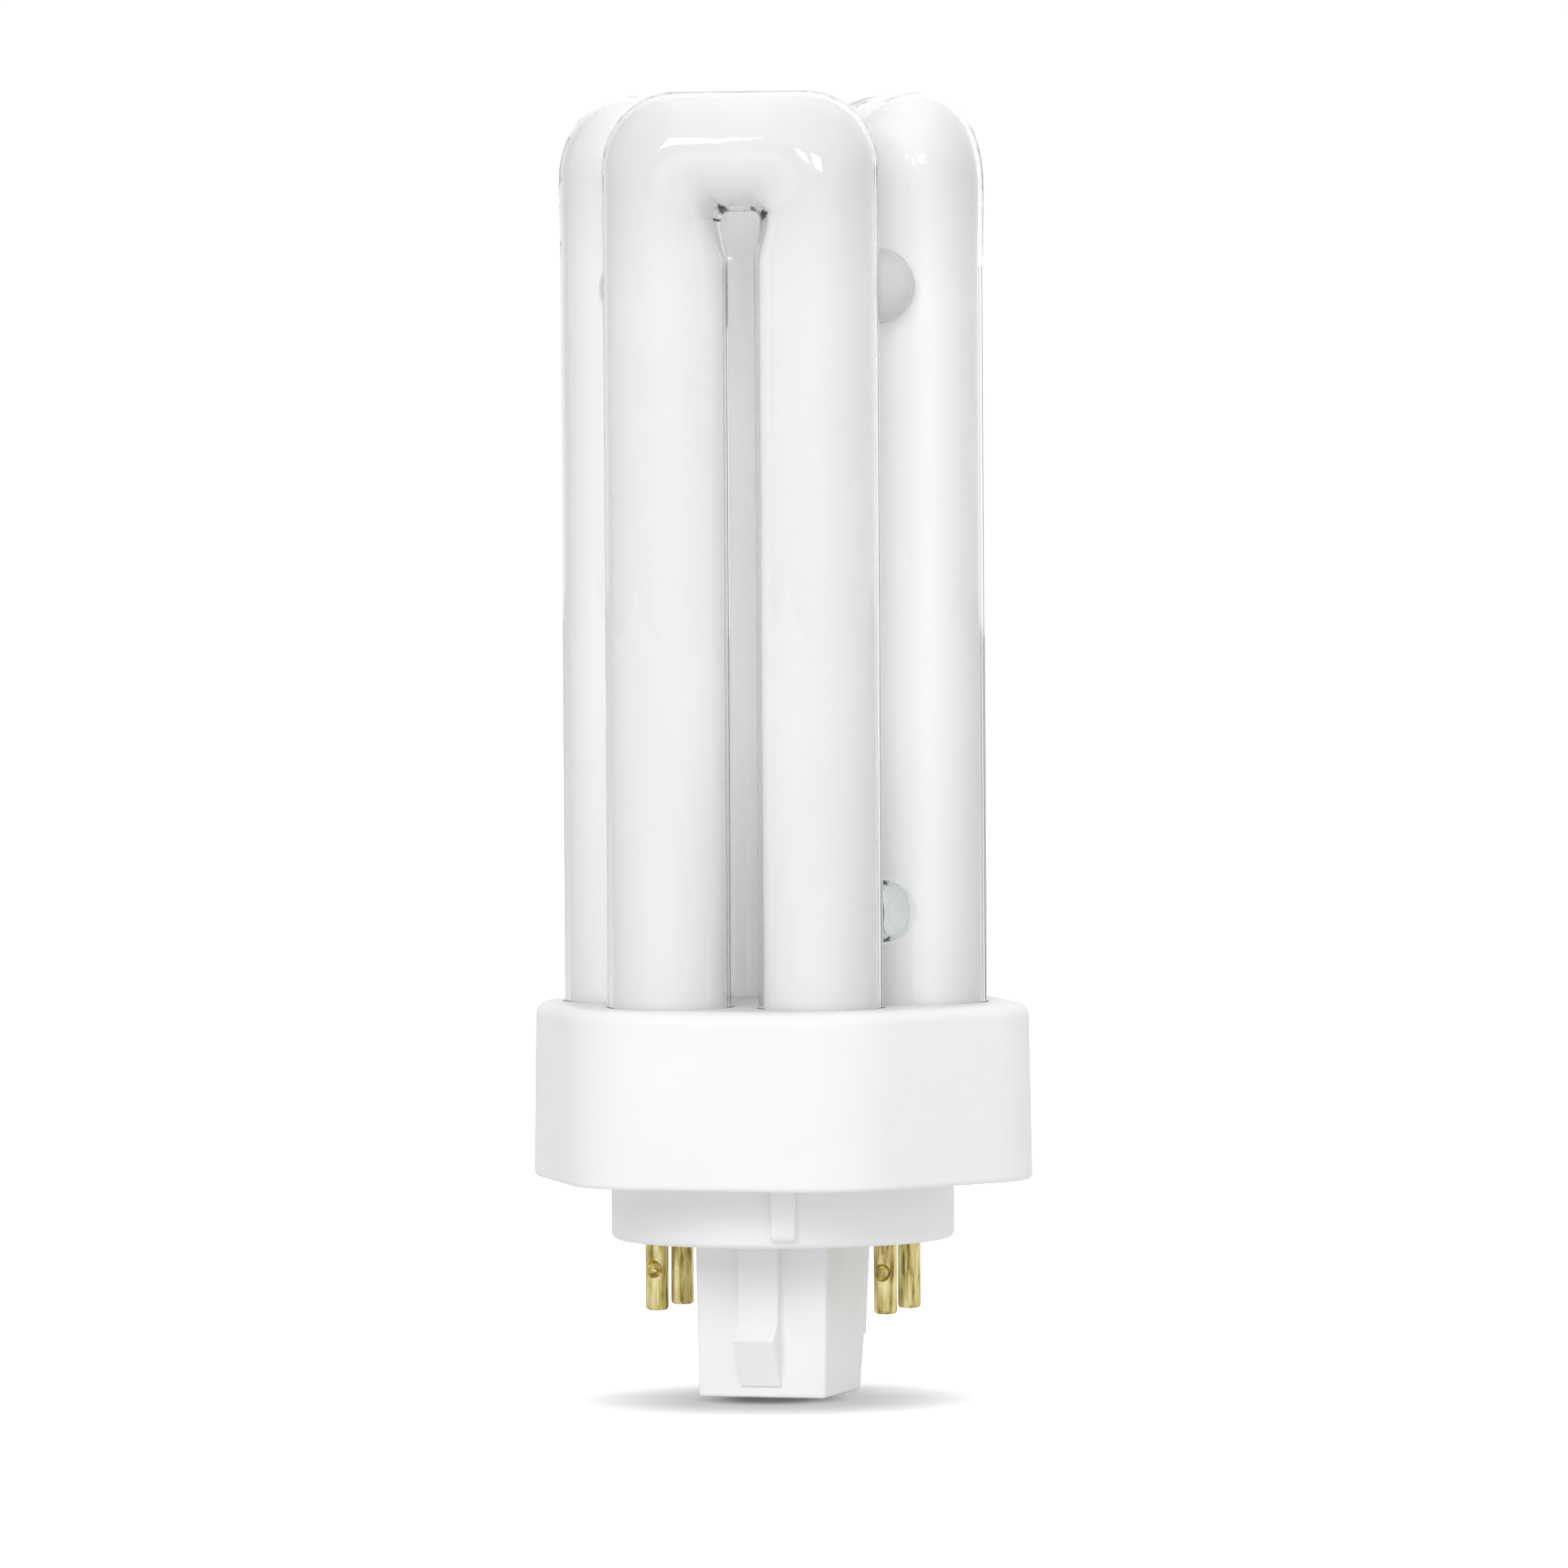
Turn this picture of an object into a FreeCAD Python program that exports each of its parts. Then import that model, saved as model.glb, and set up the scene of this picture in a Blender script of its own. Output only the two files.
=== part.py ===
import FreeCAD, Part
import math
import os

from FreeCAD import Vector

# A four pin compact fluorescent lamp, in millimetres.
# The origin lies on the lamp's axis, in the plane of the post's end. +Z runs up to the glass bends,
# and the front, with the catch that the camera sees, faces -Y. The lamp is a sealed glass discharge
# tube of three joined U shapes, cemented in a plastic collar that a plug-in cap closes from below.

# Glass discharge tube
overall_height = 130.8
tube_diameter = 12.5
leg_circle_radius = 15.45
bar_thickness = 12.0
bend_outer_radius = 7.5
slot_corner_share = 0.46
slot_flare = 0.7
bend_run_in = 5.5
dead_end_z = 29.0
dead_end_rounding = 4.5
seal_shoulder_z = 33.5
seal_press_z = 30.5
seal_bottom_z = 26.5
seal_press_width = 9.4
seal_press_thickness = 3.2
seal_press_edge = 1.2
bridge_z = 48.8
bridge_waist_radius = 2.9
bridge_flare = 0.7
exhaust_tip_diameter = 3.2
exhaust_tip_length = 2.5

# How the tube was cemented in: turned a little, and a little off the lamp's axis
tube_turn = 4.0
tube_shift = 0.6
tube_shift_angle = -163.0

# Silicone dabs between neighbouring tubes
dab_below_top = 19.4
dab_width = 9.4
dab_thickness = 7.8
dab_seat_share = 0.68
dab_squeeze = 1.27

# Collar
collar_bottom_z = 21.7
collar_top_z = 39.5
collar_rim = 4.1
collar_draft = 0.28
collar_wall = 1.9
collar_plate = 2.0
collar_top_fillet = 1.4
collar_bottom_fillet = 0.5
leg_hole_clearance_share = 0.068
cap_rebate_wall = 1.1
cap_rebate_depth = 2.3
cement_depth = 4.0

# Plug-in cap
cap_edge_clearance = 0.15
cap_inset = 0.3
drum_diameter = 34.6
drum_bottom_z = 15.6
drum_wall = 1.8
drum_floor = 2.4
drum_fillet = 0.7
post_width = 13.8
post_width_draft = 0.25
post_front = 7.75
post_front_draft = 0.15
post_rear = 7.9
post_rear_slope = 1.1
post_step_z = 5.5
post_step = 0.7
post_lead_in = 1.15
post_wall = 1.5
post_floor = 1.6
post_edge = 0.35
catch_width = 4.1
catch_rib = 1.1
catch_rib_bottom_z = 7.6
catch_crest = 2.7
catch_crest_z = 5.8
catch_end = 0.35
catch_end_z = 1.2
key_angle = -73.0
key_width = 2.5
key_height = 1.0
key_gap = 0.7
key_rounding = 0.9
key_side_rounding = 0.3
boss_wall = 1.4
boss_height = 3.0

# Contact pins and the wires that feed them
pin_diameter = 2.33
pin_row_spacing = 24.0
pin_pair_spacing = 8.5
pin_length = 7.25
pin_bore = 1.1
pin_tip = 1.0
pin_tip_rounding = 0.42
pin_head_diameter = 3.8
pin_head = 0.8
pin_clearance = 0.03
pin_head_clearance = 0.3
dimple_diameter = 1.55
dimple_ball_radius = 0.9
dimple_skin = 0.25
dimple_above_tip = 4.2
wire_diameter = 0.4
wire_spacing = 3.2
wire_bend_radius = 1.2
wire_run_height = 1.0
wire_end_above_tip = 2.2
wire_seat = 0.1

# Values worked out from the sizes above
legs_per_lamp = 6
leg_step = 360.0 / legs_per_lamp
tube_radius = tube_diameter / 2
half_pitch = leg_circle_radius * math.sin(math.radians(leg_step / 2))
plane_offset = leg_circle_radius * math.cos(math.radians(leg_step / 2))
leg_gap = 2 * (half_pitch - tube_radius)
bend_start_z = overall_height - bar_thickness - bend_run_in
dab_z = overall_height - dab_below_top
dab_outward_shift = dab_seat_share * tube_radius - dab_squeeze * leg_gap
leg_hole_clearance = leg_hole_clearance_share * leg_gap
collar_radius = tube_radius + collar_rim
plate_under_z = collar_top_z - collar_plate
ledge_z = collar_bottom_z + cap_rebate_depth
cavity_radius = collar_radius - collar_wall
rebate_radius = collar_radius - cap_rebate_wall
drum_radius = drum_diameter / 2
floor_top_z = drum_bottom_z + drum_floor
boss_top_z = floor_top_z + boss_height
pin_radius = pin_diameter / 2
pin_tip_z = drum_bottom_z - pin_length
wire_radius = wire_diameter / 2
front = -90.0
electrode_legs = (60.0, 120.0)
exhaust_leg = -120.0
right_valley = -30.0
left_valley = -150.0
rear_valley = 90.0
quarter_arc_weight = math.cos(math.radians(45))

UP = Vector(0, 0, 1)


def polar(radius, angle, z=0.0):
    """A point at a distance and an angle, in degrees, round the lamp's axis."""
    turn = math.radians(angle)
    return Vector(radius * math.cos(turn), radius * math.sin(turn), z)


def turned(shape, angle):
    """A copy of a shape, turned about the lamp's axis."""
    copy = shape.copy()
    copy.rotate(Vector(0, 0, 0), UP, angle)
    return copy


def as_cemented(shape):
    """A copy of a shape that goes with the glass, turned and shifted as the tube sits in its collar."""
    copy = turned(shape, tube_turn)
    copy.translate(polar(tube_shift, tube_shift_angle))
    return copy


def oval_row(centre, first, second, weight=1.0):
    """Nine poles with their weights, for the four quarter arcs of the ellipse on two half axes."""
    around = ((1, 0), (1, 1), (0, 1), (-1, 1), (-1, 0), (-1, -1), (0, -1), (1, -1), (1, 0))
    poles = [centre + first * u + second * v for u, v in around]
    weights = [weight * (quarter_arc_weight if u * v else 1.0) for u, v in around]
    return poles, weights


def skin(rows):
    """The face over rows of oval poles: straight over two, a quarter turn over three, an S over four."""
    degree = len(rows) - 1
    surface = Part.BSplineSurface()
    surface.buildFromPolesMultsKnots([poles for poles, weights in rows],
                                     (degree + 1, degree + 1), (3, 2, 2, 2, 3), (0, 1), (0, 1, 2, 3, 4),
                                     False, False, degree, 2, [weights for poles, weights in rows])
    return surface.toShape()


def solid_inside(faces, levels):
    """The solid inside a run of skinned faces that ends in level ovals at the given heights."""
    ends = [Part.Face(Part.Wire([edge])) for face in faces for z in levels for edge in edges_at(face, z)]
    shell = Part.makeCompound(faces + ends)
    shell.sewShape()
    solid = Part.makeSolid(shell.Shells[0])
    return solid if solid.Volume > 0 else solid.reversed()


def edges_at(shape, z):
    """The edges of a shape that lie level at one height."""
    close = 0.001
    return [e for e in shape.Edges
            if abs(e.BoundBox.ZMin - z) < close and abs(e.BoundBox.ZMax - z) < close]


def upright_edges(shape):
    """The edges of a shape that rise more than they run."""
    return [e for e in shape.Edges
            if e.BoundBox.ZLength > max(e.BoundBox.XLength, e.BoundBox.YLength)]


def rounded_hexagon(radius, z):
    """A wire round the six legs, with each of its corners concentric with a leg."""
    edges = []
    half = leg_step / 2
    for k in range(legs_per_lamp):
        angle = k * leg_step
        centre = polar(leg_circle_radius, angle, z)
        start = centre + polar(radius, angle - half)
        middle = centre + polar(radius, angle)
        end = centre + polar(radius, angle + half)
        next_start = polar(leg_circle_radius, angle + leg_step, z) + polar(radius, angle + half)
        edges.append(Part.Arc(start, middle, end).toShape())
        edges.append(Part.LineSegment(end, next_start).toShape())
    return Part.Wire(edges)


def hexagon_prism(radius, low, high):
    """A straight block with the outline of the rounded hexagon."""
    return Part.Face(rounded_hexagon(radius, low)).extrude(Vector(0, 0, high - low))


def rectangle(width, front_y, rear_y, z):
    """A level rectangle, centred across the lamp."""
    x = width / 2
    corners = [Vector(-x, front_y, z), Vector(x, front_y, z), Vector(x, rear_y, z), Vector(-x, rear_y, z)]
    return Part.makePolygon(corners + corners[:1])


def bend_row(inner, outer, weight=1.0):
    """The poles of the front bend's section between an inner and an outer point, each across and up."""
    a = Vector(inner[0], -plane_offset, inner[1])
    b = Vector(outer[0], -plane_offset, outer[1])
    return oval_row((a + b) / 2, (b - a) / 2, Vector(0, tube_radius, 0), weight)


def half_bend(side):
    """The neck and the quarter turn on one side of the front bend, and the row where its bar begins."""
    inner_u = half_pitch - tube_radius
    outer_u = half_pitch + tube_radius
    flared_u = inner_u + slot_flare
    slot_corner_radius = slot_corner_share * flared_u
    under_z = overall_height - bar_thickness
    inner_rise = under_z - slot_corner_radius - bend_start_z
    outer_rise = overall_height - bend_outer_radius - bend_start_z
    neck = [bend_row((side * u, bend_start_z + inner_rise * share),
                     (side * outer_u, bend_start_z + outer_rise * share))
            for u, share in ((inner_u, 0), (inner_u, 1 / 3), (flared_u, 2 / 3), (flared_u, 1))]
    corner = bend_row((side * flared_u, under_z), (side * outer_u, overall_height), quarter_arc_weight)
    bar = bend_row((side * (flared_u - slot_corner_radius), under_z),
                   (side * (outer_u - bend_outer_radius), overall_height))
    return skin(neck), skin([neck[-1], corner, bar]), bar


def glass_bend():
    """The moulded bend over the front pair of legs: a neck and a quarter turn on each side, and a bar."""
    left_neck, left_turn, left_bar = half_bend(-1)
    right_neck, right_turn, right_bar = half_bend(1)
    bar = skin([left_bar, right_bar])
    return solid_inside([left_neck, left_turn, bar, right_turn, right_neck], [bend_start_z])


def leg(angle, end_z):
    """A straight leg, from the bend over it down to its end."""
    return Part.makeCylinder(tube_radius, bend_start_z - end_z, polar(leg_circle_radius, angle, end_z))


def dead_leg(angle):
    """A straight leg that ends in a plain rounded end below its bridge."""
    body = leg(angle, dead_end_z)
    return [body.makeFillet(dead_end_rounding, edges_at(body, dead_end_z))]


def electrode_leg(angle):
    """A straight leg that ends in the flat press which seals two wires into the glass."""
    centre = polar(leg_circle_radius, angle)
    half_width = (seal_press_width + seal_press_edge) / 2
    half_thick = (seal_press_thickness + seal_press_edge) / 2
    drop = (seal_shoulder_z - seal_press_z) / 3
    rows = [oval_row(centre + UP * (seal_shoulder_z - drop * k), Vector(wide, 0, 0), Vector(0, thick, 0))
            for k, wide, thick in ((0, tube_radius, tube_radius), (1, tube_radius, tube_radius),
                                   (2, half_width, half_thick), (3, half_width, half_thick))]
    neck = solid_inside([skin(rows)], [seal_shoulder_z, seal_press_z])
    corner = centre + Vector(-seal_press_width / 2, -seal_press_thickness / 2, seal_bottom_z)
    press = Part.makeBox(seal_press_width, seal_press_thickness,
                         seal_press_z + seal_press_edge - seal_bottom_z, corner)
    return [leg(angle, seal_shoulder_z), neck, press.makeFillet(seal_press_edge, upright_edges(press))]


def kiss_bridge(valley):
    """The short waisted glass neck that joins two tubes across a valley."""
    mouth = bridge_waist_radius + bridge_flare
    half_length = half_pitch - tube_radius * math.cos(math.asin(mouth / tube_radius))
    reach = half_length + bridge_flare
    waist = Part.Arc(Vector(-half_length, mouth, 0), Vector(0, bridge_waist_radius, 0),
                     Vector(half_length, mouth, 0)).toShape()
    corners = ((half_length, mouth), (reach, mouth), (reach, 0), (-reach, 0), (-reach, mouth),
               (-half_length, mouth))
    sides = Part.makePolygon([Vector(along, out, 0) for along, out in corners])
    neck = Part.Face(Part.Wire([waist] + sides.Edges)).revolve(Vector(0, 0, 0), Vector(1, 0, 0), 360)
    neck.rotate(Vector(0, 0, 0), UP, valley - front)
    neck.translate(polar(plane_offset, valley, bridge_z))
    return neck


def exhaust_tip():
    """The sealed stub through which the tube was pumped out, under a dead end."""
    radius = exhaust_tip_diameter / 2
    low = dead_end_z - exhaust_tip_length
    end = polar(leg_circle_radius, exhaust_leg, low)
    return Part.makeCylinder(radius, exhaust_tip_length + radius, end).fuse(Part.makeSphere(radius, end))


def discharge_tube():
    """The whole glass body, one sealed piece."""
    pieces = [turned(glass_bend(), 2 * k * leg_step) for k in range(legs_per_lamp // 2)]
    for k in range(legs_per_lamp):
        angle = k * leg_step
        pieces += electrode_leg(angle) if angle in electrode_legs else dead_leg(angle)
    pieces += [kiss_bridge(left_valley), kiss_bridge(right_valley), exhaust_tip()]
    return as_cemented(pieces[0].fuse(pieces[1:]))


def silicone_dab(valley, tube):
    """A dab of clear silicone, pressed between two legs of the tube just under their bends."""
    arc = Part.ArcOfEllipse(Part.Ellipse(Vector(0, 0, 0), dab_width / 2, dab_thickness / 2), 0, math.pi)
    chord = Part.LineSegment(Vector(-dab_width / 2, 0, 0), Vector(dab_width / 2, 0, 0))
    outline = Part.Face(Part.Wire([arc.toShape(), chord.toShape()]))
    dab = outline.revolve(Vector(0, 0, 0), Vector(1, 0, 0), 360)
    dab.rotate(Vector(0, 0, 0), UP, valley - front)
    dab.translate(polar(plane_offset + dab_outward_shift, valley, dab_z))
    return as_cemented(dab).cut(tube)


def tube_collar():
    """The plastic collar, a cup whose top plate the six legs pass through."""
    outer = Part.makeLoft([rounded_hexagon(collar_radius, collar_bottom_z),
                           rounded_hexagon(collar_radius - collar_draft, collar_top_z)], True, True)
    outer = outer.makeFillet(collar_top_fillet, edges_at(outer, collar_top_z))
    outer = outer.makeFillet(collar_bottom_fillet, edges_at(outer, collar_bottom_z))
    cuts = [hexagon_prism(rebate_radius, collar_bottom_z, ledge_z),
            hexagon_prism(cavity_radius, ledge_z, plate_under_z)]
    for k in range(legs_per_lamp):
        place = polar(leg_circle_radius, k * leg_step, plate_under_z)
        cuts.append(as_cemented(Part.makeCylinder(tube_radius + leg_hole_clearance, collar_plate, place)))
    return outer.cut(cuts)


def tube_cement():
    """The slab of cement, poured under the collar's plate round the legs."""
    low = plate_under_z - cement_depth
    slab = hexagon_prism(cavity_radius, low, plate_under_z)
    legs = [Part.makeCylinder(tube_radius, cement_depth, polar(leg_circle_radius, k * leg_step, low))
            for k in range(legs_per_lamp)]
    holes = [as_cemented(piece) for piece in legs]
    return slab.cut(holes)


def post_block(inset, bottom_z, top_z):
    """The tapered post, or with an inset the space inside it, between two heights."""
    def section(z, rear_y):
        down = (drum_bottom_z - z) / drum_bottom_z
        width = post_width - 2 * post_width_draft * down - 2 * inset
        front_y = -post_front + post_front_draft * down + inset
        return rectangle(width, front_y, rear_y - inset, z)
    rear_at_step = post_rear - post_rear_slope
    rise = (post_rear - rear_at_step) / (drum_bottom_z - post_step_z)
    upper_rear = rear_at_step + rise * (top_z - post_step_z)
    fall = post_lead_in / post_step_z
    below_step = rear_at_step - post_step
    lower = Part.makeLoft([section(bottom_z, below_step - fall * (post_step_z - bottom_z)),
                           section(post_step_z + inset, below_step + fall * inset)], True, True)
    upper = Part.makeLoft([section(post_step_z + inset, rear_at_step + rise * inset),
                           section(top_z, upper_rear)], True, True)
    return lower, upper


def catch(side):
    """The rib down the post's front or rear face, which swells into the catch for the holder's spring."""
    def face_y(z):
        down = (drum_bottom_z - z) / drum_bottom_z
        if side < 0:
            return post_front - post_front_draft * down
        rear_at_step = post_rear - post_rear_slope
        if z > post_step_z:
            return rear_at_step + post_rear_slope * (z - post_step_z) / (drum_bottom_z - post_step_z)
        return rear_at_step - post_step - post_lead_in * (post_step_z - z) / post_step_z
    root = post_wall / 2
    crest_y = face_y(catch_crest_z) + catch_crest
    outline = [(face_y(drum_bottom_z) + catch_rib, drum_bottom_z + root),
               (face_y(catch_rib_bottom_z) + catch_rib, catch_rib_bottom_z),
               (crest_y, catch_crest_z),
               (face_y(catch_end_z) + catch_end, catch_end_z),
               (face_y(catch_end_z) - root, catch_end_z),
               (face_y(catch_crest_z) - root, catch_crest_z),
               (face_y(drum_bottom_z) - root, drum_bottom_z + root)]
    points = [Vector(-catch_width / 2, side * y, z) for y, z in outline]
    return Part.Face(Part.makePolygon(points + points[:1])).extrude(Vector(catch_width, 0, 0))


def key_rib():
    """The coding rib down the drum, which lets the lamp into matching holders only."""
    low = drum_bottom_z + key_gap
    root_x = drum_radius - drum_wall / 2
    face_x = drum_radius + key_height
    rib = Part.makeBox(face_x - root_x, key_width, collar_bottom_z + cap_inset - low,
                       Vector(root_x, -key_width / 2, low))
    toe = [edge for edge in edges_at(rib, low) if edge.BoundBox.XMin > drum_radius]
    rib = rib.makeFillet(key_rounding, toe)
    sides = [edge for edge in upright_edges(rib) if edge.BoundBox.XMin > drum_radius]
    return turned(rib.makeFillet(key_side_rounding, sides), key_angle)


def pin_places():
    """The four pins by name: where each stands, and the side that its crimp faces."""
    places = {}
    for across, x in (("left", -1), ("right", 1)):
        for along, y in (("front", -1), ("rear", 1)):
            place = Vector(x * pin_row_spacing / 2, y * pin_pair_spacing / 2, 0)
            places[along + "_" + across] = (place, y)
    return places


def base_cap():
    """The plug-in cap, one moulding: closing flange, drum, keyed post, catches and pin bosses."""
    flange = hexagon_prism(rebate_radius - cap_edge_clearance, collar_bottom_z + cap_inset, ledge_z)
    drum = Part.makeCylinder(drum_radius, ledge_z - drum_bottom_z, Vector(0, 0, drum_bottom_z))
    drum = drum.makeFillet(drum_fillet, edges_at(drum, drum_bottom_z))
    well = Part.makeCylinder(drum_radius - drum_wall, ledge_z - floor_top_z, Vector(0, 0, floor_top_z))
    lower, upper = post_block(0, 0, floor_top_z)
    lower = lower.makeFillet(post_edge, upright_edges(lower) + edges_at(lower, 0))
    upper = upper.makeFillet(post_edge, upright_edges(upper))
    shell = flange.fuse([drum]).cut(well)
    shell = shell.fuse([lower, upper, catch(-1), catch(1), key_rib()])
    bores = []
    bosses = []
    head_seat_radius = pin_head_diameter / 2 + pin_head_clearance
    for place, side in pin_places().values():
        bosses.append(Part.makeCylinder(pin_radius + boss_wall, boss_top_z - floor_top_z,
                                        place + UP * floor_top_z))
        bores.append(Part.makeCylinder(pin_radius + pin_clearance, boss_top_z - drum_bottom_z,
                                       place + UP * drum_bottom_z))
        bores.append(Part.makeCylinder(head_seat_radius, ledge_z - boss_top_z, place + UP * boss_top_z))
    hollow_low, hollow_high = post_block(post_wall, post_floor, floor_top_z)
    return shell.fuse(bosses).cut(bores + [hollow_low, hollow_high])


def contact_pin(place, side):
    """A hollow brass pin, headed inside the cap and punched once to grip its wire."""
    body = Part.makeCylinder(pin_radius, boss_top_z - pin_tip_z, UP * pin_tip_z)
    body = body.makeFillet(pin_tip_rounding, edges_at(body, pin_tip_z))
    head = Part.makeCylinder(pin_head_diameter / 2, pin_head, UP * boss_top_z)
    bore_end_z = pin_tip_z + pin_tip
    bore = Part.makeCylinder(pin_bore / 2, boss_top_z + pin_head - bore_end_z, UP * bore_end_z)
    rim_depth = math.sqrt(dimple_ball_radius ** 2 - (dimple_diameter / 2) ** 2)
    chord_y = math.sqrt(pin_radius ** 2 - (dimple_diameter / 2) ** 2)
    ball_centre = Vector(0, side * (chord_y + rim_depth), pin_tip_z + dimple_above_tip)
    dent = Part.makeSphere(dimple_ball_radius, ball_centre)
    skin = Part.makeSphere(dimple_ball_radius + dimple_skin, ball_centre).common(bore)
    pin = body.fuse(head).cut(bore).fuse(skin).cut(dent)
    pin.translate(place)
    return pin


def rounded_path(points, radius):
    """Straight runs through the points, joined by tangent arcs."""
    edges = []
    start = points[0]
    for before, corner, after in zip(points, points[1:], points[2:]):
        back = (before - corner).normalize()
        ahead = (after - corner).normalize()
        half_angle = back.getAngle(ahead) / 2
        inset = radius / math.tan(half_angle)
        arc_start = corner + back * inset
        arc_end = corner + ahead * inset
        inward = (back + ahead).normalize()
        middle = corner + inward * (radius / math.sin(half_angle) - radius)
        edges.append(Part.LineSegment(start, arc_start).toShape())
        edges.append(Part.Arc(arc_start, middle, arc_end).toShape())
        start = arc_end
    edges.append(Part.LineSegment(start, points[-1]).toShape())
    return Part.Wire(edges)


def lead_wire(name):
    """A wire from the glass seal down into a pin, past the pin's crimp."""
    place, side = pin_places()[name]
    across = math.copysign(1, place.x)
    seal = polar(leg_circle_radius, electrode_legs[0] if across > 0 else electrode_legs[1], seal_bottom_z)
    end = seal + Vector(across * side * wire_spacing / 2, 0, 0)
    start = as_cemented(Part.Vertex(end)).Point
    run_z = ledge_z + wire_run_height
    in_bore = Vector(place.x, place.y - side * (pin_bore / 2 - wire_radius - wire_seat), 0)
    points = [start,
              Vector(start.x, start.y, run_z),
              in_bore + UP * run_z,
              in_bore + UP * (pin_tip_z + wire_end_above_tip)]
    path = rounded_path(points, wire_bend_radius)
    profile = Part.Wire([Part.makeCircle(wire_radius, start, UP)])
    return path.makePipeShell([profile], True, False)


def build():
    """Every node of the lamp, by name."""
    tube = discharge_tube()
    nodes = {"discharge_tube": tube,
             "tube_collar": tube_collar(),
             "tube_cement": tube_cement(),
             "base_cap": base_cap()}
    for name, valley in (("right", right_valley), ("left", left_valley), ("rear", rear_valley)):
        nodes["silicone_dab_" + name] = silicone_dab(valley, tube)
    for name, (place, side) in pin_places().items():
        nodes["contact_pin_" + name] = contact_pin(place, side)
        nodes["lead_wire_" + name] = lead_wire(name)
    return nodes


def main():
    os.makedirs("parts", exist_ok=True)
    for name, shape in build().items():
        solids = shape.Solids
        body = solids[0] if len(solids) == 1 else Part.makeCompound(solids)
        box = body.BoundBox
        print(name, "solids", len(solids), "valid", body.isValid(), "volume", round(body.Volume, 2),
              "z", round(box.ZMin, 2), round(box.ZMax, 2))
        body.exportStep("parts/" + name + ".step")


main()
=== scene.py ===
import bpy
import bmesh
import math
from mathutils import Matrix, Vector


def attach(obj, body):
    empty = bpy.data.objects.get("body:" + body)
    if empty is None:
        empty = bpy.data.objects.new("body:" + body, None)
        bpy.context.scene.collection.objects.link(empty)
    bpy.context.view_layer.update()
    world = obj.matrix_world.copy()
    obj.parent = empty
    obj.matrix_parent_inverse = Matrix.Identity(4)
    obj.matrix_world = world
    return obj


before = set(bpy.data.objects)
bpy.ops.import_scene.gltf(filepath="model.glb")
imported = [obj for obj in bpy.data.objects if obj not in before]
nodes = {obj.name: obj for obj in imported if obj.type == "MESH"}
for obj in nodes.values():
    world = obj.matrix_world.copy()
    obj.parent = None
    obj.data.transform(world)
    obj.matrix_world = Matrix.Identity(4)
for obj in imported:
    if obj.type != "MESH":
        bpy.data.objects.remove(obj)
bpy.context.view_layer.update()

# ---------------------------------------------------------------- sizes of the glass, in millimetres
MM = 0.001
TOP_Z = 130.8
TUBE_R = 6.25
LEG_CIRCLE = 15.45
PLANE = LEG_CIRCLE * math.cos(math.radians(30))
HALF_PITCH = LEG_CIRCLE * math.sin(math.radians(30))
U_TURNS = (0, 120, 240)
BAR = 12.0
BEND_OUTER = 7.5
BEND_RISE = 5.5
BEND_START = TOP_Z - BAR - BEND_RISE
SLOT_FLARE = 0.7
SLOT_CORNER_SHARE = 0.46
SLOT_CORNER = SLOT_CORNER_SHARE * (HALF_PITCH - TUBE_R + SLOT_FLARE)
W45 = math.cos(math.radians(45))

# How the cluster of tubes sits in its collar: turned in degrees, and shifted.
TUBE_TURN = 4.0
SHIFT = 0.6
SHIFT_ANGLE = math.radians(-163)
TUBE_SHIFT = Vector((SHIFT * math.cos(SHIFT_ANGLE), SHIFT * math.sin(SHIFT_ANGLE), 0.0))

# The wall, and the coating inside it. The feet are the heights at which the skins end in the collar.
WALL = 0.55
WALL_FOOT = 31.0
INNER_CORNER_GLASS = 0.15
COAT_GAP = 0.04
COAT_SKIN = 0.2
COAT_FOOT = 34.0
COAT_SKIN_FOOT = 34.5

# The bridges, with the directions of their valleys in degrees. A profile's pairs are a place along the
# bridge and the radius there.
BRIDGE_Z = 48.8
VALLEYS = (-30, -150)
BORE = [(-3.0, 2.75), (-2.5, 2.7), (-2.0, 2.45), (-1.2, 2.2), (0.0, 2.1), (1.2, 2.2), (2.0, 2.45), (2.5, 2.7),
        (3.0, 2.75)]
COAT_WINDOW = [(-4.2, 3.4), (4.2, 3.4)]
COAT_WINDOW_NARROW = 0.74

# How finely the skins are drawn.
SECTION_POINTS = 72
ROUND_POINTS = 48
LEG_ROWS = 7
RISE_ROWS = 16
CORNER_ROWS = 20
SHARP_ANGLE = math.radians(40)

# How far a section is into the tight inner corner: at the end of the rise, and what the corner adds.
CORNER_RISE = 0.85
CORNER_PEAK = 0.15

# Where the coating is greyed with painted shade, for the shade seen through the thin coating in the tight
# inner
# corner of the bends: from which height, from which share of the section's half width in the corner, and how
# softly that begins. Below the second height it is greyed on the very edge only.
THIN_SHADE_FROM_Z = BEND_START - 1
THIN_SHADE_EDGE_Z = BEND_START + 0.3
THIN_SHADE_EDGE = 0.74
THIN_SHADE_BEFORE = 0.04
THIN_SHADE_AFTER = 0.12


# ---------------------------------------------------------------- mesh helpers
def lerp(a, b, t):
    return a + (b - a) * t


def smoothstep(low, high, value):
    t = min(1.0, max(0.0, (value - low) / (high - low)))
    return t * t * (3 - 2 * t)


def quad_turn(p, q, r, t):
    """A point on the exact quarter turn from p by q to r."""
    a, b, c = (1 - t) ** 2, 2 * t * (1 - t) * W45, t * t
    return (p * a + q * b + r * c) / (a + b + c)


def cubic(p, q, r, s, t):
    return p * (1 - t) ** 3 + q * 3 * t * (1 - t) ** 2 + r * 3 * t * t * (1 - t) + s * t ** 3


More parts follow.
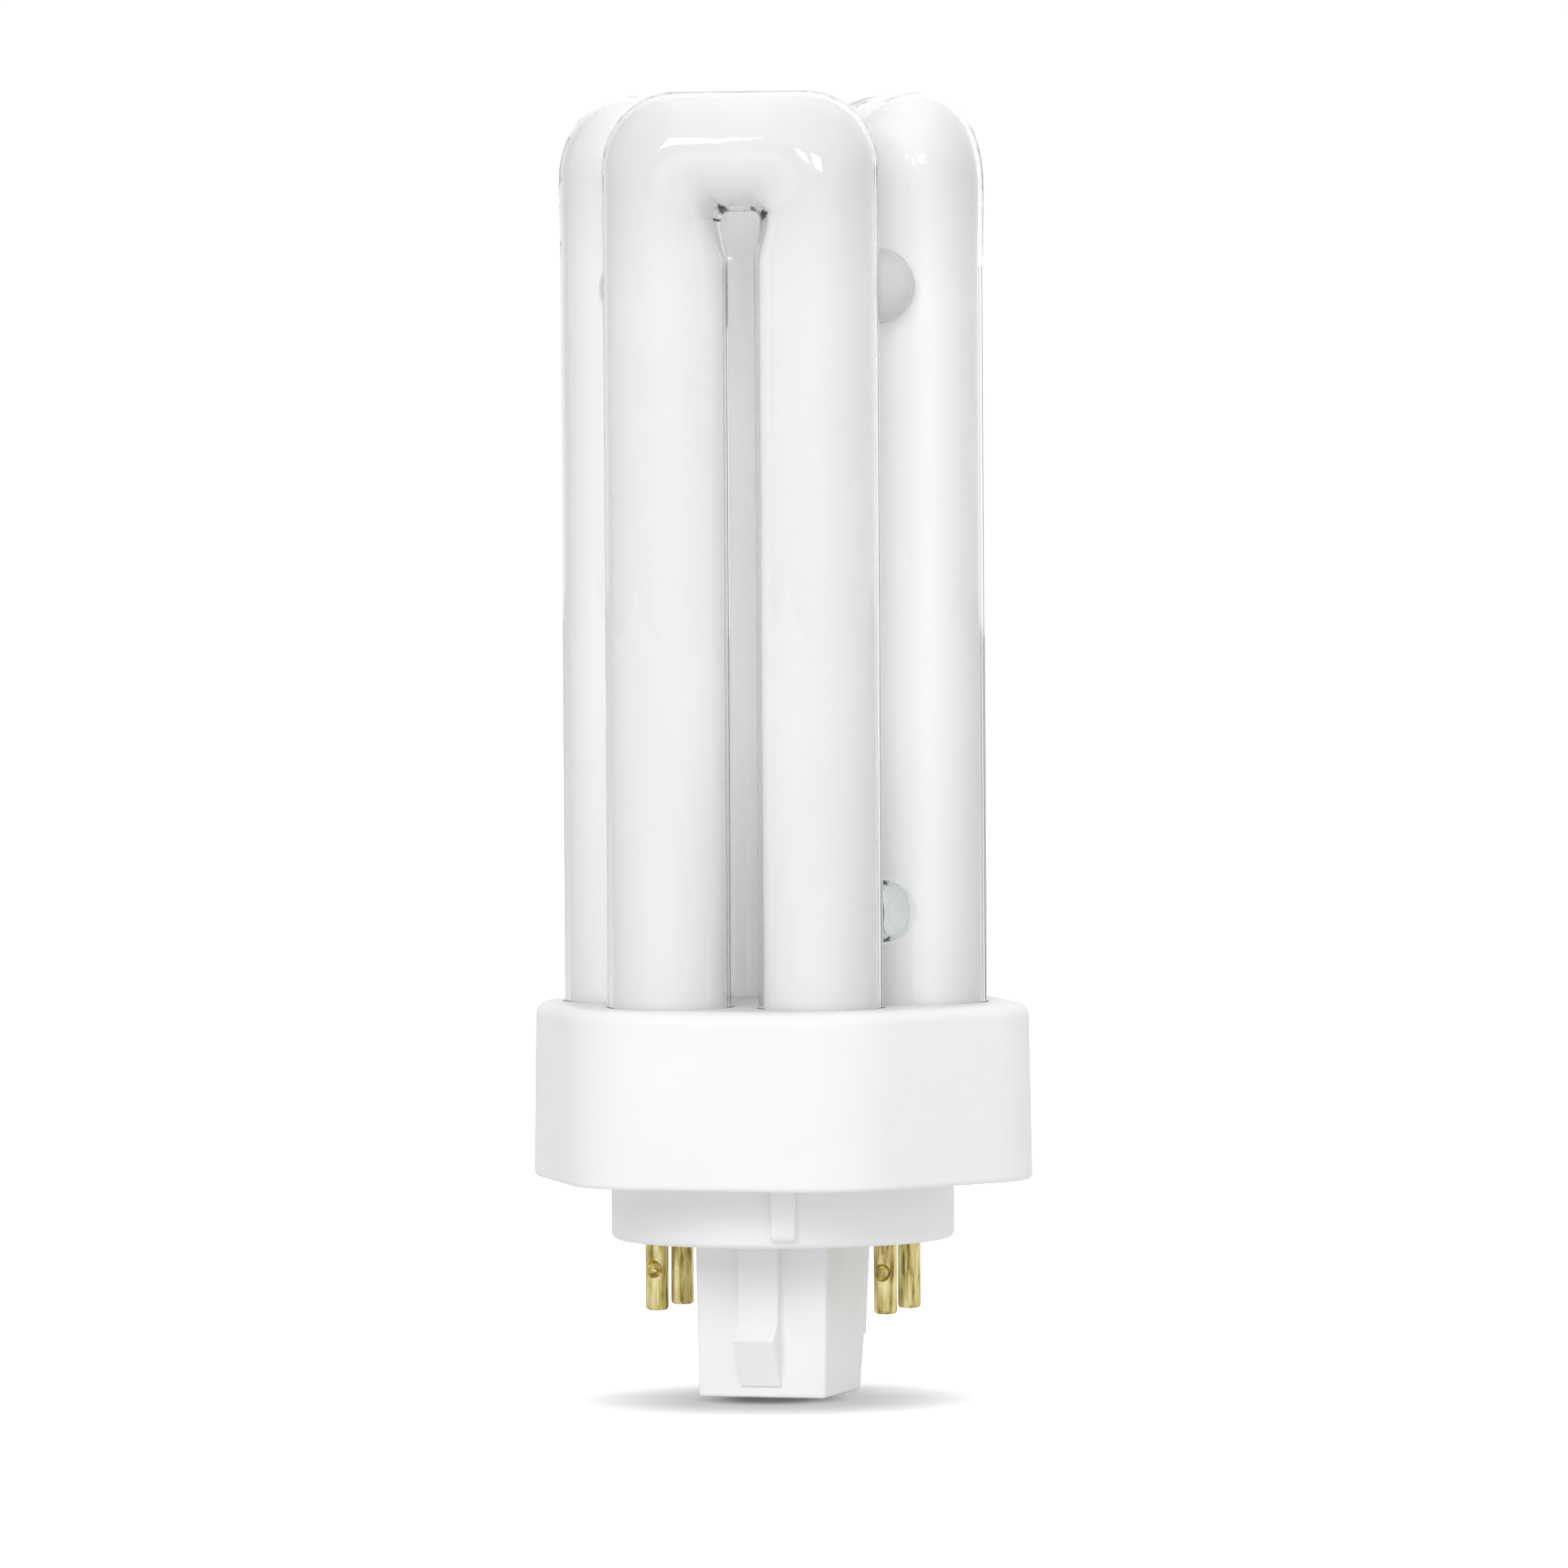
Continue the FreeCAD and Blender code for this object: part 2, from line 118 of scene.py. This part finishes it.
def u_stations(low):
    """Sections of a U from the foot of one leg over the bend to the other: inner point, outer point and
    how far the section is into the tight inner corner, from 0 to 1."""
    inner, outer = HALF_PITCH - TUBE_R, HALF_PITCH + TUBE_R
    flared = inner + SLOT_FLARE
    under = TOP_Z - BAR
    half = []
    for k in range(LEG_ROWS):
        z = lerp(low, BEND_START, k / LEG_ROWS)
        half.append((Vector((inner, z)), Vector((outer, z)), 0.0))
    rise_in = under - SLOT_CORNER - BEND_START
    rise_out = TOP_Z - BEND_OUTER - BEND_START
    for k in range(RISE_ROWS):
        t = k / RISE_ROWS
        a = Vector((cubic(inner, inner, flared, flared, t), BEND_START + rise_in * t))
        b = Vector((outer, BEND_START + rise_out * t))
        half.append((a, b, CORNER_RISE * t ** 1.6))
    for k in range(CORNER_ROWS + 1):
        t = k / CORNER_ROWS
        a = quad_turn(Vector((flared, under - SLOT_CORNER)), Vector((flared, under)),
                      Vector((flared - SLOT_CORNER, under)), t)
        b = quad_turn(Vector((outer, TOP_Z - BEND_OUTER)), Vector((outer, TOP_Z)),
                      Vector((outer - BEND_OUTER, TOP_Z)), t)
        corner = CORNER_RISE + CORNER_PEAK * math.sin(math.pi * t) if t < 0.5 else (1 - t) * 2
        half.append((a, b, corner))
    row = list(half)
    for a, b, corner in reversed(half):
        row.append((Vector((-a.x, a.y)), Vector((-b.x, b.y)), corner))
    return row


def as_cemented(point):
    """A point that goes with the glass, turned and shifted as the tube sits in its collar, in metres."""
    return (Matrix.Rotation(math.radians(TUBE_TURN), 3, "Z") @ point + TUBE_SHIFT) * MM


def thin_and_shaded_share(z, corner, angle):
    """How much painted shade greys the thin coating, from 0 to 1: only on the inner side of the bends."""
    if z <= THIN_SHADE_FROM_Z:
        return 0.0
    edge = 1.0 if z < THIN_SHADE_EDGE_Z else lerp(1.0, THIN_SHADE_EDGE, corner * corner)
    return smoothstep(edge - THIN_SHADE_BEFORE, edge + THIN_SHADE_AFTER, -math.cos(angle))


def close_rings(bm, rings):
    """Joins rings of vertices into one closed skin that faces outwards, and gives its faces."""
    faces = []
    points = len(rings[0])
    for lower, upper in zip(rings, rings[1:]):
        for s in range(points):
            n = (s + 1) % points
            faces.append(bm.faces.new((lower[s], lower[n], upper[n], upper[s])))
    faces.append(bm.faces.new(rings[0]))
    faces.append(bm.faces.new(rings[-1]))
    bmesh.ops.recalc_face_normals(bm, faces=faces)
    return faces


def u_shell(bm, turn_deg, offset, low, flip=False):
    """Adds one closed U, set in from the outer glass skin by an offset, to a bmesh. Its vertices carry how
    much painted shade of the tight inner corner greys the thin coating there, and whether they belong to the
    coating's inner side (a flipped skin)."""
    rings = []
    thin = bm.verts.layers.float.get("thin") or bm.verts.layers.float.new("thin")
    inside = bm.verts.layers.float.get("inside") or bm.verts.layers.float.new("inside")
    spin = Matrix.Rotation(math.radians(turn_deg), 3, "Z")
    side = TUBE_R - offset
    for a, b, corner in u_stations(low):
        along = (b - a).normalized()
        a = a + along * (offset + INNER_CORNER_GLASS * corner)
        b = b - along * offset
        centre, half = (a + b) / 2, (b - a) / 2
        ring = []
        for s in range(SECTION_POINTS):
            angle = 2 * math.pi * s / SECTION_POINTS
            u = centre.x + half.x * math.cos(angle)
            z = centre.y + half.y * math.cos(angle)
            y = -PLANE + side * math.sin(angle)
            vert = bm.verts.new(as_cemented(spin @ Vector((u, y, z))))
            vert[thin] = thin_and_shaded_share(a.y, corner, angle)
            vert[inside] = 1.0 if flip else 0.0
            ring.append(vert)
        rings.append(ring)
    faces = close_rings(bm, rings)
    if flip:
        bmesh.ops.reverse_faces(bm, faces=faces)


def revolve_across(bm, valley, profile, narrow=1.0):
    """Adds a closed body of revolution whose axis runs across a valley at the bridge's height. It can be
    narrower to the sides than upwards."""
    across = Matrix.Rotation(math.radians(valley + 90), 3, "Z")
    turn = math.radians(valley)
    centre = Vector((PLANE * math.cos(turn), PLANE * math.sin(turn), BRIDGE_Z))
    rings = []
    for along, radius in profile:
        ring = []
        for s in range(ROUND_POINTS):
            angle = 2 * math.pi * s / ROUND_POINTS
            local = Vector((along, radius * narrow * math.cos(angle), radius * math.sin(angle)))
            ring.append(bm.verts.new(as_cemented(centre + across @ local)))
        rings.append(ring)
    close_rings(bm, rings)


def add_object(name, bm):
    mesh = bpy.data.meshes.new(name)
    bm.to_mesh(mesh)
    bm.free()
    piece = bpy.data.objects.new(name, mesh)
    bpy.context.scene.collection.objects.link(piece)
    return piece


def smooth(piece):
    """Shades a piece smooth, apart from its sharp edges."""
    mesh = piece.data
    mesh.polygons.foreach_set("use_smooth", [True] * len(mesh.polygons))
    bm = bmesh.new()
    bm.from_mesh(mesh)
    for edge in bm.edges:
        edge.smooth = len(edge.link_faces) == 2 and edge.calc_face_angle(0) < SHARP_ANGLE
    bm.to_mesh(mesh)
    bm.free()


def boolean(piece, cutter, operation):
    """Applies a boolean with a helper object, and removes the helper."""
    modifier = piece.modifiers.new("cut", "BOOLEAN")
    modifier.object = cutter
    modifier.operation = operation
    modifier.solver = "EXACT"
    graph = bpy.context.evaluated_depsgraph_get()
    mesh = bpy.data.meshes.new_from_object(piece.evaluated_get(graph))
    old = piece.data
    piece.modifiers.clear()
    piece.data = mesh
    mesh.name = old.name
    bpy.data.meshes.remove(old)
    bpy.data.objects.remove(cutter, do_unlink=True)


# ---------------------------------------------------------------- shader helpers
# The places of a colour mix's sockets, which have no names of their own.
MIX_FACTOR = 0
MIX_FIRST = 6
MIX_SECOND = 7
MIX_RESULT = 2


def set_values(made, values):
    """Sets a node's inputs, by names that start with in_, and its own settings."""
    for key, value in values.items():
        if key.startswith("in_"):
            made.inputs[key[3:].replace("_", " ")].default_value = value
        else:
            setattr(made, key, value)


def new_material(name, **values):
    material = bpy.data.materials.new(name)
    material.use_nodes = True
    tree = material.node_tree
    shader = tree.nodes["Principled BSDF"]
    set_values(shader, values)
    return material, tree, shader


def node(tree, kind, **values):
    made = tree.nodes.new(kind)
    set_values(made, values)
    return made


def grey(v):
    return (v, v, v, 1.0)


def object_coords(tree, scale=(1, 1, 1), place=(0, 0, 0)):
    coords = node(tree, "ShaderNodeTexCoord")
    mapping = node(tree, "ShaderNodeMapping", in_Scale=scale, in_Location=place)
    tree.links.new(coords.outputs["Object"], mapping.inputs["Vector"])
    return mapping.outputs["Vector"]


def object_height(tree):
    split = node(tree, "ShaderNodeSeparateXYZ")
    tree.links.new(object_coords(tree), split.inputs["Vector"])
    return split.outputs["Z"]


def length(tree, vector):
    made = node(tree, "ShaderNodeVectorMath", operation="LENGTH")
    tree.links.new(vector, made.inputs[0])
    return made.outputs["Value"]


def dot(tree, vector, direction):
    made = node(tree, "ShaderNodeVectorMath", operation="DOT_PRODUCT")
    tree.links.new(vector, made.inputs[0])
    made.inputs[1].default_value = direction
    return made.outputs["Value"]


def noise(tree, vector, scale, detail=4.0, rough=0.55):
    made = node(tree, "ShaderNodeTexNoise", in_Scale=scale, in_Detail=detail, in_Roughness=rough)
    tree.links.new(vector, made.inputs["Vector"])
    return made.outputs["Fac"]


def fade(tree, value, low, high, **values):
    """Runs from 0 to 1 while a value goes from low to high."""
    made = node(tree, "ShaderNodeMapRange", in_From_Min=low, in_From_Max=high, **values)
    tree.links.new(value, made.inputs["Value"])
    return made.outputs["Result"]


def ramp(tree, fac, stops):
    made = node(tree, "ShaderNodeValToRGB")
    elements = made.color_ramp.elements
    while len(elements) < len(stops):
        elements.new(0.5)
    for element, (place, colour) in zip(elements, stops):
        element.position = place
        element.color = colour if len(colour) == 4 else (*colour, 1.0)
    tree.links.new(fac, made.inputs["Fac"])
    return made.outputs["Color"]


def mix(tree, factor, first, second, blend="MIX"):
    """Mixes two colours. Each value is another node's output or a constant."""
    made = node(tree, "ShaderNodeMix", data_type="RGBA", blend_type=blend)
    for socket, value in ((MIX_FACTOR, factor), (MIX_FIRST, first), (MIX_SECOND, second)):
        if isinstance(value, bpy.types.NodeSocket):
            tree.links.new(value, made.inputs[socket])
        else:
            made.inputs[socket].default_value = value
    return made.outputs[MIX_RESULT]


def multiply(tree, first, second):
    return mix(tree, 1.0, first, second, "MULTIPLY")


def bump(tree, height, strength, distance, shader):
    made = node(tree, "ShaderNodeBump", in_Strength=strength, in_Distance=distance)
    tree.links.new(height, made.inputs["Height"])
    tree.links.new(made.outputs["Normal"], shader.inputs["Normal"])


# ---------------------------------------------------------------- node materials
# Where the glass's swell, and the coating's greying over the bends and painted glow, begin and end, as
# heights and distances from the axis in metres.
GLASS_WAVE_Z = (0.112, 0.126)
COAT_BEND_Z = (0.110, 0.122)
COAT_GLOW_Z = (0.040, 0.122)
COAT_GLOW_REACH = (0.0130, 0.0225)


def glass_material(name, wavy):
    """Clear glass that lets plain light through to what it covers. A wavy one swells a little over the
    moulded bends."""
    material, tree, shader = new_material(name, in_Base_Color=(0.996, 1.0, 0.998, 1.0), in_Roughness=0.0,
                                          in_IOR=1.5, in_Transmission_Weight=1.0)
    if wavy:
        swell = noise(tree, object_coords(tree), 120.0, 1.5, 0.4)
        height = node(tree, "ShaderNodeMath", operation="MULTIPLY")
        tree.links.new(swell, height.inputs[0])
        tree.links.new(fade(tree, object_height(tree), *GLASS_WAVE_Z), height.inputs[1])
        bump(tree, height.outputs["Value"], 0.16, 0.0006, shader)
    path = node(tree, "ShaderNodeLightPath")
    clear = node(tree, "ShaderNodeBsdfTransparent", in_Color=grey(0.98))
    either = node(tree, "ShaderNodeMixShader")
    tree.links.new(path.outputs["Is Shadow Ray"], either.inputs["Fac"])
    tree.links.new(shader.outputs["BSDF"], either.inputs[1])
    tree.links.new(clear.outputs["BSDF"], either.inputs[2])
    tree.links.new(either.outputs["Shader"], tree.nodes["Material Output"].inputs["Surface"])
    return material


def coating_material():
    """Matt white, greyer over the bends, and greyed with painted shade on the inner side of the bends. A
    painted glow stands in for the light that enters the other tubes and comes out in the hollow between the
    legs: it is strongest there, less on the coating's inner side and at the ends, and lifts the whole coating
    a little."""
    material, tree, shader = new_material("phosphor_coating", in_Roughness=0.85, in_Specular_IOR_Level=0.1,
                                          in_Emission_Strength=1.0)
    height = object_height(tree)
    cloud = noise(tree, object_coords(tree, (1, 1, 0.35)), 160.0, 5.0, 0.6)
    tint = ramp(tree, cloud, [(0.3, (0.78, 0.788, 0.783)), (0.7, (0.81, 0.818, 0.812))])
    # Painted shade: grey on the inner side of the bends stands in for the shade seen through the thin coating
    # in the tight inner corner.
    thin = node(tree, "ShaderNodeAttribute", attribute_name="thin")
    thin_and_shaded_grey = mix(tree, thin.outputs["Fac"], tint, (0.68, 0.69, 0.67, 1.0))
    bends = ramp(tree, fade(tree, height, *COAT_BEND_Z), [(0.0, grey(1.0)), (1.0, (0.925, 0.925, 0.915))])
    tree.links.new(multiply(tree, thin_and_shaded_grey, bends), shader.inputs["Base Color"])

    # Painted glow: emission lifts the whole coating, most in the hollow between the legs.
    from_axis = length(tree, object_coords(tree, (1, 1, 0)))
    hollow = fade(tree, from_axis, *COAT_GLOW_REACH, interpolation_type="SMOOTHSTEP")
    glow = ramp(tree, hollow, [(0.0, (0.356, 0.36, 0.356)), (1.0, (0.112, 0.114, 0.113))])
    inside = node(tree, "ShaderNodeAttribute", attribute_name="inside")
    sides = ramp(tree, inside.outputs["Fac"], [(0.0, grey(1.0)), (1.0, grey(0.6))])
    ends = ramp(tree, fade(tree, height, *COAT_GLOW_Z),
                [(0.0, grey(0.60)), (0.35, grey(1.0)), (0.85, grey(1.0)), (1.0, grey(0.82))])
    glow = multiply(tree, multiply(tree, glow, sides), ends)
    tree.links.new(glow, shader.inputs["Emission Color"])
    return material


def plastic_material():
    material, tree, shader = new_material("white_plastic_satin", in_IOR=1.5)
    vector = object_coords(tree)
    cloud = noise(tree, vector, 60.0, 3.0, 0.5)
    tint = ramp(tree, cloud, [(0.3, (0.855, 0.862, 0.868)), (0.7, (0.885, 0.892, 0.898))])
    tree.links.new(tint, shader.inputs["Base Color"])
    gloss = ramp(tree, noise(tree, vector, 420.0, 3.0, 0.6), [(0.3, grey(0.30)), (0.7, grey(0.42))])
    tree.links.new(gloss, shader.inputs["Roughness"])
    bump(tree, noise(tree, vector, 1800.0, 2.0, 0.5), 0.06, 0.00005, shader)
    return material


def brass_material():
    material, tree, shader = new_material("contact_brass", in_Metallic=1.0)
    # The vertical streaks are partly tarnish and partly painted reflection: dark and bright bands in the
    # colour stand in for the studio mirrored in the pins.
    tarnish_and_reflection = noise(tree, object_coords(tree, (1, 1, 0.12)), 1600.0, 4.0, 0.6)
    tint = ramp(tree, tarnish_and_reflection, [(0.36, (0.27, 0.19, 0.055)), (0.47, (0.66, 0.55, 0.20)),
                               (0.62, (0.92, 0.83, 0.44))])
    tree.links.new(tint, shader.inputs["Base Color"])
    wear = noise(tree, object_coords(tree), 900.0, 3.0, 0.6)
    rough = ramp(tree, wear, [(0.3, grey(0.16)), (0.7, grey(0.32))])
    tree.links.new(rough, shader.inputs["Roughness"])
    bump(tree, tarnish_and_reflection, 0.12, 0.00004, shader)
    return material


def silicone_material():
    # The dab's faint emission is a painted glow that lifts its brightness.
    material, tree, shader = new_material("clear_silicone", in_Roughness=0.22, in_IOR=1.41,
                                          in_Transmission_Weight=0.3, in_Emission_Color=grey(0.9),
                                          in_Emission_Strength=0.08)
    vector = object_coords(tree)
    cloud = noise(tree, vector, 260.0, 3.0, 0.5)
    tint = ramp(tree, cloud, [(0.3, (0.68, 0.69, 0.67)), (0.7, (0.75, 0.76, 0.74))])
    tree.links.new(tint, shader.inputs["Base Color"])
    bump(tree, noise(tree, vector, 420.0, 2.0, 0.5), 0.25, 0.0003, shader)
    return material


def cement_material():
    material, tree, shader = new_material("fixing_cement", in_Roughness=0.95)
    grain = noise(tree, object_coords(tree), 900.0, 6.0, 0.7)
    tint = ramp(tree, grain, [(0.3, (0.58, 0.55, 0.48)), (0.7, (0.74, 0.71, 0.64))])
    tree.links.new(tint, shader.inputs["Base Color"])
    bump(tree, grain, 0.6, 0.0003, shader)
    return material


def wire_material():
    material, tree, shader = new_material("drawn_lead_metal", in_Metallic=1.0, in_Roughness=0.34)
    drawn = noise(tree, object_coords(tree, (1, 1, 0.2)), 5200.0, 3.0, 0.6)
    tint = ramp(tree, drawn, [(0.3, (0.46, 0.44, 0.42)), (0.7, (0.64, 0.62, 0.59))])
    tree.links.new(tint, shader.inputs["Base Color"])
    bump(tree, drawn, 0.15, 0.00002, shader)
    return material


def assign(piece, material):
    piece.data.materials.clear()
    piece.data.materials.append(material)


def dress(name, material):
    for place in nodes[name].material_slots:
        place.material = material


outer_glass = glass_material("tube_glass", True)
inner_glass = glass_material("tube_glass_inside", False)
white = plastic_material()
brass = brass_material()
silicone = silicone_material()

dress("discharge_tube", outer_glass)
dress("tube_collar", white)
dress("base_cap", white)
dress("tube_cement", cement_material())
for place in ("right", "left", "rear"):
    dress("silicone_dab_" + place, silicone)
wire = wire_material()
for place in ("front_left", "rear_left", "front_right", "rear_right"):
    dress("contact_pin_" + place, brass)
    dress("lead_wire_" + place, wire)

# ---------------------------------------------------------------- the glass's inner wall and its coating
bm = bmesh.new()
for turn in U_TURNS:
    u_shell(bm, turn, WALL, WALL_FOOT)
inner_wall = add_object("tube_inner_wall", bm)
bm = bmesh.new()
for valley in VALLEYS:
    revolve_across(bm, valley, BORE)
boolean(inner_wall, add_object("bores", bm), "UNION")
inner_wall.data.flip_normals()
smooth(inner_wall)
assign(inner_wall, inner_glass)
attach(inner_wall, "root")

bm = bmesh.new()
for turn in U_TURNS:
    u_shell(bm, turn, WALL + COAT_GAP, COAT_FOOT)
    u_shell(bm, turn, WALL + COAT_GAP + COAT_SKIN, COAT_SKIN_FOOT, flip=True)
coating = add_object("phosphor_coating", bm)
bm = bmesh.new()
for valley in VALLEYS:
    revolve_across(bm, valley, COAT_WINDOW, narrow=COAT_WINDOW_NARROW)
boolean(coating, add_object("windows", bm), "DIFFERENCE")
smooth(coating)
assign(coating, coating_material())
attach(coating, "root")

# ---------------------------------------------------------------- floor, light and camera, in metres
FLOOR_HALF = 4.0
FLOOR_GLOW = grey(0.80)
FLOOR_GLOW_INDIRECT = grey(0.20)
SHADOW_MIDDLE = (0.0027, -0.0096)
SHADOW_EDGE = (0.006, 0.033)
# A painted contact shadow: a small dark spot on the floor's colour in front of the post.
CONTACT_SHADOW_MIDDLE = (0.0015, -0.0090)
CONTACT_SHADOW_EDGE = (0.0025, 0.0090)
CONTACT_SHADOW_GREY = grey(0.10)

# The world is dimmer at the left than at the right, across this direction, and dimmer in front than behind.
SIDE_ANGLE = math.radians(17)
SIDE = Vector((math.cos(SIDE_ANGLE), math.sin(SIDE_ANGLE), 0.0))
BEHIND = Vector((-SIDE.y, SIDE.x, 0.0))
WORLD_STRENGTH = 1.03

LAMP_MIDDLE = (0, 0, 0.07)

CAM = Vector((0.3508, -1.1476, 0.09904))
AIM = Vector((0.0, 0.0, 0.06135))
AIM_SIDEWAYS = 0.000376
LENS = 273.47
ROLL = -0.35


def spot_edge(tree, middle, edge):
    """0 in a round spot on the floor and 1 outside it, with a soft edge between two radii."""
    vector = object_coords(tree, place=(-middle[0], -middle[1], 0.0))
    return fade(tree, length(tree, vector), *edge, interpolation_type="SMOOTHSTEP")


def floor_sheet():
    """The floor glows to white round the lamp's shadow for the camera, and is plain pale for other rays. For
    the camera, a painted contact shadow darkens a small spot in front of the post.
    """
    bm = bmesh.new()
    bmesh.ops.create_grid(bm, x_segments=4, y_segments=4, size=FLOOR_HALF)
    floor = add_object("studio_floor", bm)
    material, tree, shader = new_material("studio_floor", in_Roughness=0.7, in_Emission_Strength=1.0,
                                          in_Specular_IOR_Level=0.2)
    paper = noise(tree, object_coords(tree), 40.0, 3.0, 0.5)
    sheet = ramp(tree, paper, [(0.3, grey(0.60)), (0.7, grey(0.62))])
    contact_shadow = mix(tree, spot_edge(tree, CONTACT_SHADOW_MIDDLE, CONTACT_SHADOW_EDGE), CONTACT_SHADOW_GREY, sheet)
    glow = ramp(tree, spot_edge(tree, SHADOW_MIDDLE, SHADOW_EDGE), [(0.0, grey(0.0)), (1.0, FLOOR_GLOW)])
    for_camera = node(tree, "ShaderNodeLightPath").outputs["Is Camera Ray"]
    tree.links.new(mix(tree, for_camera, sheet, contact_shadow), shader.inputs["Base Color"])
    tree.links.new(mix(tree, for_camera, FLOOR_GLOW_INDIRECT, glow), shader.inputs["Emission Color"])
    assign(floor, material)


def studio_world():
    world = bpy.data.worlds.new("studio")
    bpy.context.scene.world = world
    world.use_nodes = True
    tree = world.node_tree
    around = node(tree, "ShaderNodeTexCoord").outputs["Generated"]
    spread = fade(tree, dot(tree, around, SIDE), -1.0, 1.0)
    side = ramp(tree, spread, [(0.0, grey(0.58)), (0.22, grey(0.70)), (0.40, grey(1.0)), (0.62, grey(1.0)),
                               (0.82, grey(0.98)), (1.0, grey(0.92))])
    depth = fade(tree, dot(tree, around, BEHIND), -0.6, 0.4, in_To_Min=0.60)
    light = node(tree, "ShaderNodeVectorMath", operation="SCALE")
    tree.links.new(side, light.inputs[0])
    tree.links.new(depth, light.inputs["Scale"])
    background = tree.nodes["Background"]
    tree.links.new(light.outputs["Vector"], background.inputs["Color"])
    background.inputs["Strength"].default_value = WORLD_STRENGTH


def around_lamp(azimuth, elevation, distance):
    """A place seen from the middle of the lamp, in degrees and metres."""
    level = distance * math.cos(math.radians(elevation))
    turn = math.radians(azimuth)
    height = LAMP_MIDDLE[2] + distance * math.sin(math.radians(elevation))
    return (level * math.cos(turn), level * math.sin(turn), height)


def area_light(name, place, width, height, watts, lean=0, mirrored=True):
    """A rectangle of light that faces the lamp's middle, and that glass and gloss may mirror or not."""
    light = bpy.data.lights.new(name, "AREA")
    light.shape = "RECTANGLE"
    light.size = width
    light.size_y = height
    light.energy = watts
    holder = bpy.data.objects.new(name, light)
    place, target = Vector(place), Vector(LAMP_MIDDLE)
    facing = (target - place).to_track_quat("-Z", "Y").to_matrix().to_4x4()
    holder.matrix_world = Matrix.Translation(place) @ facing @ Matrix.Rotation(math.radians(lean), 4, "Z")
    holder.visible_glossy = mirrored
    holder.visible_transmission = mirrored
    bpy.context.scene.collection.objects.link(holder)


def place_camera():
    """Aims the camera, turns its aim a little sideways and rolls it."""
    upright = Vector((0, 0, 1))
    forward = (AIM - CAM).normalized()
    right = forward.cross(upright).normalized()
    forward = (AIM + right * AIM_SIDEWAYS - CAM).normalized()
    right = forward.cross(upright).normalized()
    up = right.cross(forward)
    basis = Matrix((right, up, -forward)).transposed()
    camera_data = bpy.data.cameras.new("camera")
    camera_data.sensor_width = 36.0
    camera_data.lens = LENS
    camera_data.clip_start = 0.05
    camera_data.clip_end = 20.0
    camera = bpy.data.objects.new("camera", camera_data)
    camera.matrix_world = (Matrix.Translation(CAM) @ basis.to_4x4() @
                           Matrix.Rotation(math.radians(ROLL), 4, "Z"))
    bpy.context.scene.collection.objects.link(camera)
    bpy.context.scene.camera = camera


floor_sheet()
studio_world()
area_light("strip", around_lamp(-104.5, 21, 1.3), 0.197, 0.22, 1.1, lean=1)
area_light("small_left", around_lamp(-87, 14, 1.3), 0.12, 0.12, 0.25)
area_light("small_right", around_lamp(-71, 16, 1.3), 0.25, 0.2, 0.8)
area_light("front_fill", around_lamp(-86, 34, 1.5), 0.9, 0.5, 7.5, mirrored=False)
area_light("top", (0.0, 0.1, 1.3), 0.9, 0.9, 1.8, mirrored=False)
place_camera()
bpy.context.scene.view_settings.view_transform = "Standard"
bpy.context.scene.view_settings.look = "None"
bpy.context.scene.cycles.diffuse_bounces = 10
bpy.context.scene.cycles.transmission_bounces = 36
bpy.context.scene.cycles.max_bounces = 44
